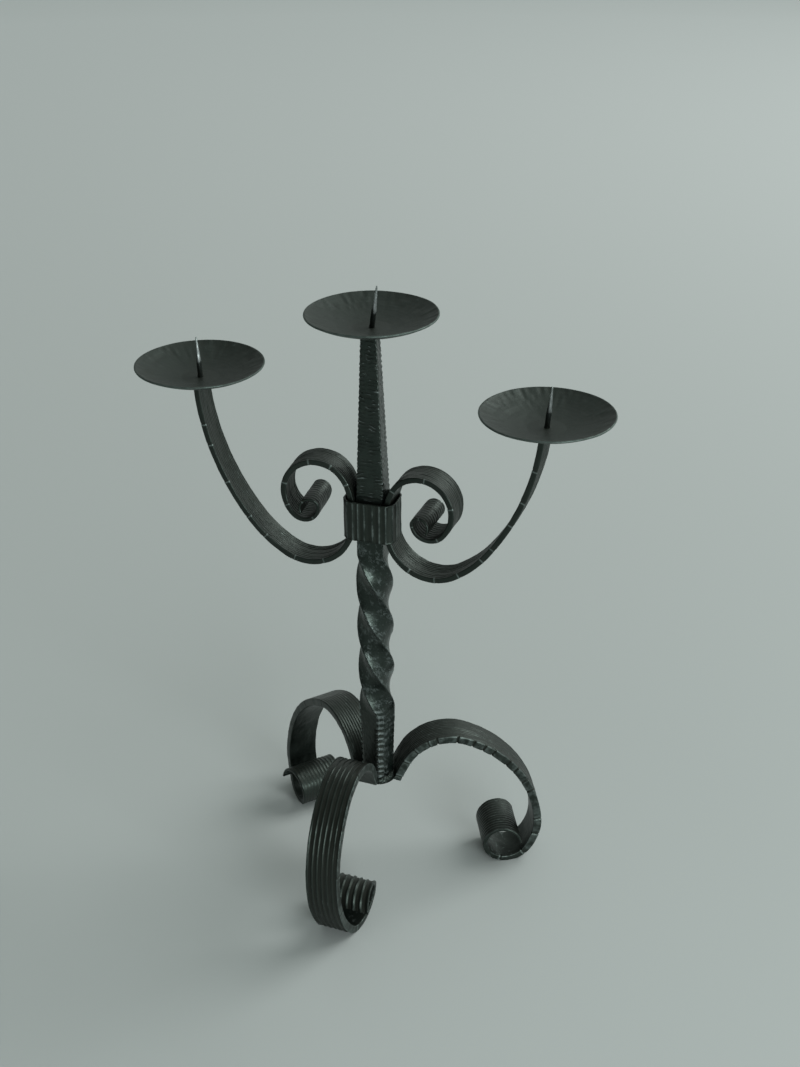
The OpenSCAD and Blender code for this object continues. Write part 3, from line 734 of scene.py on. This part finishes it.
def plate_profile():
    """Points (radius, height) from the middle underneath, round the rim, to the middle inside."""
    bowl = (PLATE_R ** 2 - SEAT_R ** 2 + PLATE_DEPTH ** 2) / (2 * PLATE_DEPTH)
    ball = math.hypot(bowl, SEAT_R)
    lip = PLATE_T / 2
    r = np.concatenate([np.linspace(1, SEAT_R, 10)[:-1], np.linspace(SEAT_R, PLATE_R - lip, 56)])
    inside = np.where(r < SEAT_R, 0, bowl - np.sqrt(ball ** 2 - r ** 2)) + PLATE_T
    under = PLATE_T + bowl - np.sqrt((ball + PLATE_T) ** 2 - r ** 2)
    under = np.maximum(under, 0)
    turn = np.linspace(-0.35 * math.pi, 0.65 * math.pi, 9)
    middle_z = (inside[-1] + under[-1]) / 2
    rim = np.stack([r[-1] + lip * np.cos(turn), middle_z + lip * np.sin(turn)], 1)
    down = np.stack([r, under], 1)
    back = np.stack([r, inside], 1)[::-1]
    return np.concatenate([down[:-1], rim, back[1:]]), len(down) - 1, len(rim)


def make_plate(side, seed):
    profile, below, lip = plate_profile()
    r, h = profile[:, 0][:, None], profile[:, 1][:, None]
    rows = len(profile)
    angle = np.linspace(0, 2 * math.pi, PLATE_ROUND, endpoint=False)[None, :]
    turn = angle / (2 * math.pi)
    inner = (np.arange(rows) >= below + lip)[:, None]
    strokes = dents(r / 6, turn * STROKES, seed, STROKES) * smooth(20, 41, r)
    blows = dents(r / 4.5, turn * BLOWS, seed + 1, BLOWS) * smooth(8, 20, r)
    rings = np.cos(2 * math.pi * r / RING_PITCH) * 0.3 * smooth(12, 24, r)
    relief = np.where(inner, 0.24 * strokes + 0.12 * blows + 0.05 * rings, 0.07 * blows)
    wave = 0.28 * dents(0 * r, turn * WAVES, seed + 2, WAVES) * smooth(25, 45, r) - 0.15 * smooth(25, 45, r)
    height = np.where(h <= 0, 0.0, h + relief + wave)
    height = np.clip(height, 0, PLATE_DEPTH + PLATE_T)
    grid = np.stack([r * np.cos(angle), r * np.sin(angle), height + 0 * angle], -1) + seats[side]
    on_rim = smooth(PLATE_R - 1.2, PLATE_R, r)
    wear_and_highlight = 0.5 * on_rim + np.where(inner, 0.18 + 0.25 * strokes, 0.3)
    grime_and_shade = np.where(inner, 0.35 - 0.3 * strokes + 0.3 * smooth(20, 5, r), 0.2)
    name = "plate_" + side
    return make_piece(name + "_dished", [(grid, closed_tube(rows, PLATE_ROUND), wear_and_highlight, grime_and_shade)], name)


plates = [make_plate("top", 61), make_plate("right", 64), make_plate("left", 67)]

# %% [markdown]
# ## The prickets
# A pricket is drawn out from round bar: a straight shank and then a long point, blunted at the tip. Each
# one leans a little its own way. At its foot there is a small collar of scale and old wax.

# %% Prickets
SPIKE_H, SPIKE_STRAIGHT, SPIKE_D, TIP_D = 29.0, 9.0, 3.6, 0.9
LEANS = {"top": 7.5, "right": 4.5, "left": -2.5}
SPIKE_ROUND = 40
SPIKE_SUNK, SPIKE_SKIRT = 0.6, 0.3


def make_pricket(side, seed):
    """A turned profile, made slightly uneven, and then leant about the place where it leaves the plate."""
    h = np.concatenate([np.linspace(-SPIKE_SUNK, SPIKE_STRAIGHT, 24),
                        np.linspace(SPIKE_STRAIGHT, SPIKE_H, 60)[1:]])
    shank, tip = SPIKE_D / 2, TIP_D / 2
    r = np.interp(h, [-SPIKE_SUNK, 1.0, 2.2, SPIKE_STRAIGHT, SPIKE_H - 1.2, SPIKE_H - 0.3, SPIKE_H],
                  [shank + SPIKE_SKIRT, shank + 0.1, shank, shank, tip + 0.12, tip, 0.12])
    angle = np.linspace(0, 2 * math.pi, SPIKE_ROUND, endpoint=False)
    turn = angle / (2 * math.pi)
    uneven = dents(h[:, None] / 3, turn[None, :] * 6, seed, 6)
    flats = np.cos(4 * angle)[None, :] * 0.07
    flats = flats * smooth(SPIKE_STRAIGHT - 3, SPIKE_STRAIGHT + 6, h)[:, None]
    radius = r[:, None] * (1 + 0.05 * uneven + flats)
    lean = math.radians(LEANS[side])
    x = radius * np.cos(angle)
    y = radius * np.sin(angle)
    up = PLATE_T + h[:, None] + 0 * x
    c, s = math.cos(lean), math.sin(lean)
    grid = np.stack([x * c + up * s, y, up * c - x * s], -1)
    grid[..., 2] = np.clip(grid[..., 2], PLATE_T - 0.4, top_limit - seats[side][2])
    grid = grid + seats[side]
    # The point is lighter, and the shank darker towards its foot.
    wear_and_highlight = 0.05 + 0.8 * smooth(SPIKE_STRAIGHT - 4, SPIKE_STRAIGHT + 8, h)[:, None] + 0.2 * uneven
    grime_and_shade = (1 - smooth(1, 8, h))[:, None] * 0.4 + 0 * x
    name = "pricket_" + side
    return make_piece(name + "_drawn", [(grid, closed_tube(len(h), SPIKE_ROUND), wear_and_highlight, grime_and_shade)], name)


top_limit = cad_box[1][2] / MM
prickets = [make_pricket("top", 71), make_pricket("right", 72), make_pricket("left", 73)]

# %% [markdown]
# ## The weld
# The legs are welded to the foot of the stem. Underneath there is a low cap of weld metal, and in the
# open corner between the front and the right leg a thick run of it was laid and left rough. The run is
# a lumpy tube along part of a circle, thick in the middle and closed at both ends.

# %% Weld
CAP_R, CAP_H = 14.0, 4.0
RUN_R, RUN_FROM, RUN_TO = 11.0, -104.0, 26.0
CAP_ROUND, RUN_ROWS, RUN_ROUND = 72, 90, 40
RUN_THICK = 2.6


def weld_cap():
    """A dome that hangs down: height falls with the square of the radius, plus dents."""
    angle = np.linspace(0, 2 * math.pi, CAP_ROUND, endpoint=False)[None, :]
    share = np.concatenate([np.linspace(0.02, 1, 24), [1.0, 0.6, 0.2, 0.02]])[:, None]
    r = CAP_R * share * (1 + 0.05 * dents(0 * share, angle / (2 * math.pi) * 8, 80, 8))
    lumps = 0.5 * dents(r / 4, angle / (2 * math.pi) * 12, 81, 12)
    z = foot_z - CAP_H * (1 - share ** 2) + lumps * (1 - share)
    z = np.where(np.arange(len(share))[:, None] > 24, foot_z + 1.5, z)
    grid = np.stack([stem_xy[0] + r * np.cos(angle), stem_xy[1] + r * np.sin(angle), z + 0 * angle], -1)
    return grid, closed_tube(len(share), CAP_ROUND), 0.3, 0.2


def weld_run():
    """Tube along a circle round the stem: radius swells as the root of a sine, plus dents."""
    t = np.linspace(0, 1, RUN_ROWS)[:, None]
    along = np.radians(RUN_FROM + (RUN_TO - RUN_FROM) * t)
    v = np.linspace(0, 2 * math.pi, RUN_ROUND, endpoint=False)[None, :]
    swell = np.maximum(np.sin(math.pi * t), 0) ** 0.45
    lumps = dents(t * 7, v / (2 * math.pi) * 4, 83, 4) + 0.8 * dents(t * 26, v / (2 * math.pi) * 14, 85, 14)
    radius = swell * (RUN_THICK + 0.8 * lumps) + 0.02
    away = RUN_R + 0.9 * dents(t * 4, 0 * t, 84)
    reach = away + radius * np.cos(v)
    z = foot_z + 2.4 + radius * 1.05 * np.sin(v) - 0.5 * np.sin(math.pi * t)
    grid = np.stack([stem_xy[0] + reach * np.cos(along), stem_xy[1] + reach * np.sin(along), z], -1)
    return grid, closed_tube(RUN_ROWS, RUN_ROUND), 0.35 + 0.3 * lumps, 0.15


weld = make_piece("root_weld_laid", [weld_cap(), weld_run()], "root_weld")

# %% [markdown]
# ## Shader helpers
# A shader is a graph of small steps. These helpers make a node and join it to others in one line, so
# that a material reads like a recipe.

# %% Helpers for shader graphs
def add(tree, kind, **settings):
    """A new node with its settings."""
    node = tree.nodes.new(kind)
    for key, value in settings.items():
        setattr(node, key, value)
    return node


def plug(tree, socket, value):
    """Joins another node's output to an input, or sets the input to a plain value."""
    if isinstance(value, bpy.types.NodeSocket):
        tree.links.new(value, socket)
    else:
        socket.default_value = value


def feed(tree, node, **inputs):
    """Joins or sets inputs by name, with underscores for spaces."""
    for key, value in inputs.items():
        plug(tree, node.inputs[key.replace("_", " ")], value)
    return node


def maths(tree, operation, a, b=0.0, clamp=False):
    node = add(tree, "ShaderNodeMath", operation=operation, use_clamp=clamp)
    for socket, value in zip(node.inputs, (a, b)):
        plug(tree, socket, value)
    return node.outputs[0]


def blend(tree, share, a, b):
    """Colour between a and b."""
    node = add(tree, "ShaderNodeMix", data_type="RGBA")
    for socket, value in ((node.inputs[0], share), (node.inputs[6], a), (node.inputs[7], b)):
        plug(tree, socket, value)
    return node.outputs[2]


def ramp(tree, value, from_low, from_high, to_low=0.0, to_high=1.0):
    node = add(tree, "ShaderNodeMapRange", clamp=True)
    feed(tree, node, Value=value, From_Min=from_low, From_Max=from_high, To_Min=to_low, To_Max=to_high)
    return node.outputs[0]


def new_group(name, inputs, outputs):
    """An empty node group with named number sockets."""
    tree = bpy.data.node_groups.new(name, "ShaderNodeTree")
    for socket in inputs:
        tree.interface.new_socket(socket, in_out="INPUT", socket_type="NodeSocketFloat")
    for socket in outputs:
        tree.interface.new_socket(socket, in_out="OUTPUT", socket_type="NodeSocketFloat")
    return tree, add(tree, "NodeGroupInput"), add(tree, "NodeGroupOutput")


# %% [markdown]
# ## Mill scale
# Hot iron grows a skin of scale, which flakes off in patches under the hammer. Wax fills it unevenly.
# The group gives a slow tone, small pits and a fine height for the bump, all from object coordinates.

# %% Group: forge skin
def forge_skin_group():
    tree, into, out = new_group("forge_skin", ["Size"], ["Tone", "Pits", "Height"])
    place = add(tree, "ShaderNodeTexCoord").outputs["Object"]
    scale = maths(tree, "DIVIDE", 1.0, into.outputs["Size"])

    def noise(times, detail, rough):
        node = add(tree, "ShaderNodeTexNoise")
        feed(tree, node, Vector=place, Scale=maths(tree, "MULTIPLY", scale, times), Detail=detail,
             Roughness=rough)
        return node.outputs["Fac"]

    slow = noise(0.25, 3.0, 0.55)
    mid = noise(1.0, 4.0, 0.6)
    grain = noise(4.5, 3.0, 0.65)
    pits = add(tree, "ShaderNodeTexVoronoi", feature="F1")
    feed(tree, pits, Vector=place, Scale=maths(tree, "MULTIPLY", scale, 1.7))
    pit = ramp(tree, pits.outputs["Distance"], 0.05, 0.34, 1.0, 0.0)
    pit = maths(tree, "MULTIPLY", pit, ramp(tree, slow, 0.48, 0.62))
    tone = maths(tree, "ADD", maths(tree, "MULTIPLY", slow, 0.6), maths(tree, "MULTIPLY", mid, 0.4))
    height = maths(tree, "ADD", maths(tree, "MULTIPLY", mid, 0.6), maths(tree, "MULTIPLY", grain, 0.3))
    height = maths(tree, "SUBTRACT", height, maths(tree, "MULTIPLY", pit, 0.35))
    feed(tree, out, Tone=ramp(tree, tone, 0.36, 0.64), Pits=pit, Height=height)
    return tree


# %% [markdown]
# ## Rubbed edges and painted highlights
# Wax and scale rub through first where the metal stands proud. The group takes the mark that the mesh
# carries, which is rubbed metal and in places painted highlight, and breaks it up with fine noise, so
# that no rubbed or painted edge has a clean outline.

# %% Group: rubbed edges and painted highlights
def rubbed_and_lit_group():
    tree, into, out = new_group("rubbed_and_lit_edges", ["Mark", "Start", "Full"], ["Mask"])
    place = add(tree, "ShaderNodeTexCoord").outputs["Object"]
    patch = add(tree, "ShaderNodeTexNoise")
    feed(tree, patch, Vector=place, Scale=210.0, Detail=3.0, Roughness=0.6)
    broken = maths(tree, "MULTIPLY", maths(tree, "SUBTRACT", patch.outputs["Fac"], 0.5), 0.9)
    mark = maths(tree, "ADD", into.outputs["Mark"], broken)
    mask = ramp(tree, mark, into.outputs["Start"], into.outputs["Full"])
    feed(tree, out, Mask=mask)
    return tree


FORGE_SKIN = forge_skin_group()
RUBBED_AND_LIT = rubbed_and_lit_group()
print("groups", FORGE_SKIN.name, RUBBED_AND_LIT.name)

# %% [markdown]
# ## Waxed black iron
# Scale under wax is not bare metal: it is a nearly black skin with a satin shine. Like every waxed or
# painted thing it mirrors little where it is seen straight on and much where it is seen at a slant, so
# the front faces stay dark and the side faces turn grey. Where edges and crests are rubbed, the metal
# comes through and is lighter; the same lighter metal is also painted on as highlight, on crests and on
# the stem's foot. Brown stays in the hollows, and on the stem's foot it is also painted on as shade.
# Every piece uses this recipe with its own values.

# %% Material: black iron
METAL_SHOWS = 0.75
BUMP_HEIGHT = 0.0005
# This brown is grime in the hollows, and on the stem's foot it is also painted shade.
BROWN = (0.008, 0.006, 0.0045, 1)
MIRROR_TINT, MIRROR_LEVEL = (0.80, 1.0, 0.88, 1), 0.38


def group_node(tree, group, **inputs):
    node = add(tree, "ShaderNodeGroup", node_tree=group)
    return feed(tree, node, **inputs)


def mark_of(tree, name):
    return add(tree, "ShaderNodeAttribute", attribute_name=name).outputs["Fac"]


def black_iron(name, dark, light, rubbed_and_lit, rough, grain, bump, start=0.42, full=1.05, brown=0.6):
    material = bpy.data.materials.new(name)
    material.use_nodes = True
    tree = material.node_tree
    shader = tree.nodes["Principled BSDF"]
    skin = group_node(tree, FORGE_SKIN, Size=grain)
    mask = group_node(tree, RUBBED_AND_LIT, Mark=mark_of(tree, "wear_and_highlight"), Start=start, Full=full).outputs["Mask"]
    grime_and_shade = maths(tree, "MULTIPLY", mark_of(tree, "grime_and_shade"), brown, clamp=True)
    colour = blend(tree, skin.outputs["Tone"], (*dark, 1), (*light, 1))
    # The grime mark blends in the brown: grime, and in places painted shade.
    colour = blend(tree, grime_and_shade, colour, BROWN)
    # The mask blends in the lighter metal: rubbed metal, and in places painted highlight.
    colour = blend(tree, mask, colour, (*rubbed_and_lit, 1))
    shine = ramp(tree, skin.outputs["Tone"], 0.0, 1.0, rough[0], rough[1])
    shine = maths(tree, "ADD", shine, maths(tree, "MULTIPLY", grime_and_shade, 0.25))
    shine = maths(tree, "SUBTRACT", shine, maths(tree, "MULTIPLY", mask, 0.06), clamp=True)
    relief = add(tree, "ShaderNodeBump")
    feed(tree, relief, Height=skin.outputs["Height"], Strength=bump, Distance=BUMP_HEIGHT)
    metal = maths(tree, "MULTIPLY", mask, METAL_SHOWS)
    feed(tree, shader, Base_Color=colour, Roughness=shine, Metallic=metal, Specular_Tint=MIRROR_TINT,
         Specular_IOR_Level=MIRROR_LEVEL, Normal=relief.outputs["Normal"])
    return material


bar_iron = black_iron("waxed_bar", (0.0025, 0.0040, 0.0033), (0.0080, 0.0105, 0.0090), (0.145, 0.175, 0.165),
                      (0.28, 0.42), 0.012, 0.7)
stem_iron = black_iron("waxed_stem", (0.0025, 0.0040, 0.0035), (0.0090, 0.0120, 0.0105), (0.17, 0.20, 0.195),
                       (0.22, 0.36), 0.010, 0.8)
plate_iron = black_iron("waxed_plate", (0.0040, 0.0065, 0.0052), (0.0120, 0.0160, 0.0135),
                        (0.10, 0.125, 0.115), (0.40, 0.54), 0.014, 0.6)
spike_iron = black_iron("waxed_spike", (0.004, 0.005, 0.005), (0.012, 0.014, 0.013), (0.30, 0.33, 0.32),
                        (0.26, 0.38), 0.006, 0.35)
weld_iron = black_iron("waxed_weld", (0.005, 0.007, 0.006), (0.014, 0.018, 0.016), (0.12, 0.145, 0.135),
                       (0.34, 0.46), 0.012, 0.6)


def finish_with(pieces, material):
    for piece in pieces:
        piece.data.materials.append(material)


finish_with(legs + arms + [collar], bar_iron)
finish_with([stem], stem_iron)
finish_with([weld], weld_iron)
finish_with(plates, plate_iron)
finish_with(prickets, spike_iron)
print("materials", [m.name for m in bpy.data.materials])

# %% [markdown]
# ## Floor and light
# Black iron shows little of its own colour, so what it mirrors matters as much as the lamps. The room in
# the photograph is pale on the right and behind, and dark on the left and behind the camera. A wide lamp
# gives the soft daylight from behind on the right, a second one is a low window in front on the right,
# and the world carries the pale and the dark side of the room. The floor gets paler with distance.

# %% Floor, lamps and world
NEAR_FLOOR, FAR_FLOOR = (0.39, 0.42, 0.407, 1), (0.62, 0.655, 0.645, 1)
PALE_SIDE, DARK_SIDE = (0.66, 0.72, 0.70, 1), (0.12, 0.13, 0.122, 1)
PALE_WAY = (0.72, 0.56, 0.41)
WALL = (0.45, 0.49, 0.47, 1)
FLOOR_HALF = 9.0
FLOOR_NEAR, FLOOR_FAR = 0.3, 4.5


def make_floor():
    mesh = bpy.data.meshes.new("floor")
    corners = [(x * FLOOR_HALF, y * FLOOR_HALF, 0) for x, y in ((-1, -1), (1, -1), (1, 1), (-1, 1))]
    mesh.from_pydata(corners, [], [(0, 1, 2, 3)])
    floor = new_object("floor", mesh)
    material = bpy.data.materials.new("pale_floor")
    material.use_nodes = True
    tree = material.node_tree
    shader = tree.nodes["Principled BSDF"]
    away = add(tree, "ShaderNodeVectorMath", operation="LENGTH")
    tree.links.new(add(tree, "ShaderNodeTexCoord").outputs["Object"], away.inputs[0])
    far = ramp(tree, away.outputs["Value"], FLOOR_NEAR, FLOOR_FAR)
    feed(tree, shader, Base_Color=blend(tree, far, NEAR_FLOOR, FAR_FLOOR), Roughness=0.9,
         Specular_IOR_Level=0.1)
    mesh.materials.append(material)


def lamp(name, place, aim, size, power, colour=(1, 1, 1)):
    data = bpy.data.lights.new(name, "AREA")
    data.shape = "RECTANGLE"
    data.size, data.size_y = size
    data.energy = power
    data.color = colour
    light = new_object(name, data)
    light.location = place
    light.rotation_euler = (Vector(aim) - Vector(place)).to_track_quat("-Z", "Y").to_euler()


def make_world():
    """Radiance rises smoothly from the dark to the pale side of the room; the camera sees a plain wall."""
    world = bpy.data.worlds.new("room")
    bpy.context.scene.world = world
    world.use_nodes = True
    tree = world.node_tree
    way = add(tree, "ShaderNodeVectorMath", operation="DOT_PRODUCT")
    tree.links.new(add(tree, "ShaderNodeTexCoord").outputs["Generated"], way.inputs[0])
    way.inputs[1].default_value = PALE_WAY
    share = ramp(tree, way.outputs["Value"], -0.35, 0.7)
    room = blend(tree, share, DARK_SIDE, PALE_SIDE)
    seen = add(tree, "ShaderNodeLightPath").outputs["Is Camera Ray"]
    tree.links.new(blend(tree, seen, room, WALL), tree.nodes["Background"].inputs["Color"])


make_floor()
make_world()
lamp("daylight", (2.7, 2.3, 3.6), (0, 0, 0.2), (3.0, 3.0), 137, (0.99, 1.0, 1.0))
lamp("window", (1.70, -1.50, 0.62), (0, 0, 0.25), (1.3, 0.8), 38, (0.92, 0.98, 1.0))
bpy.context.scene.view_settings.view_transform = "Standard"
